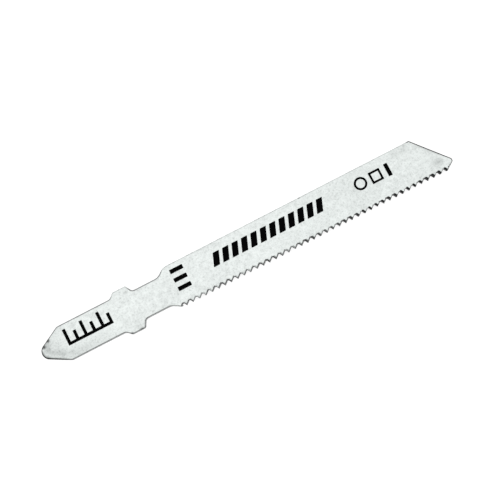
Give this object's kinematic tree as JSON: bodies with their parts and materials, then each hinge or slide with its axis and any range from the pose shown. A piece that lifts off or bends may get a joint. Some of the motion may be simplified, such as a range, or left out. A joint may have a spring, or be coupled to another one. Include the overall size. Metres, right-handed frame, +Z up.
{
  "type": "jigsaw blade",
  "caption": "Flat steel jigsaw blade with a lugged T shank, a fine wavy-set toothed edge and a slanted end, for cutting metal.",
  "frame": {"origin": "the strip's underside at the middle of the two shank lugs, on the shank's centre line", "axes": "+X along the blade from the shank to the tip, +Y towards the straight back edge (the teeth face -Y), +Z up through the strip's thickness"},
  "size_m": [0.0759, 0.0078, 0.0014],
  "materials": {
    "steel": "satin, tumbled bright steel",
    "print": "thin matt black marking ink on the steel"
  },
  "bodies": {
    "root": {"blade": "steel"}
  },
  "joints": []
}
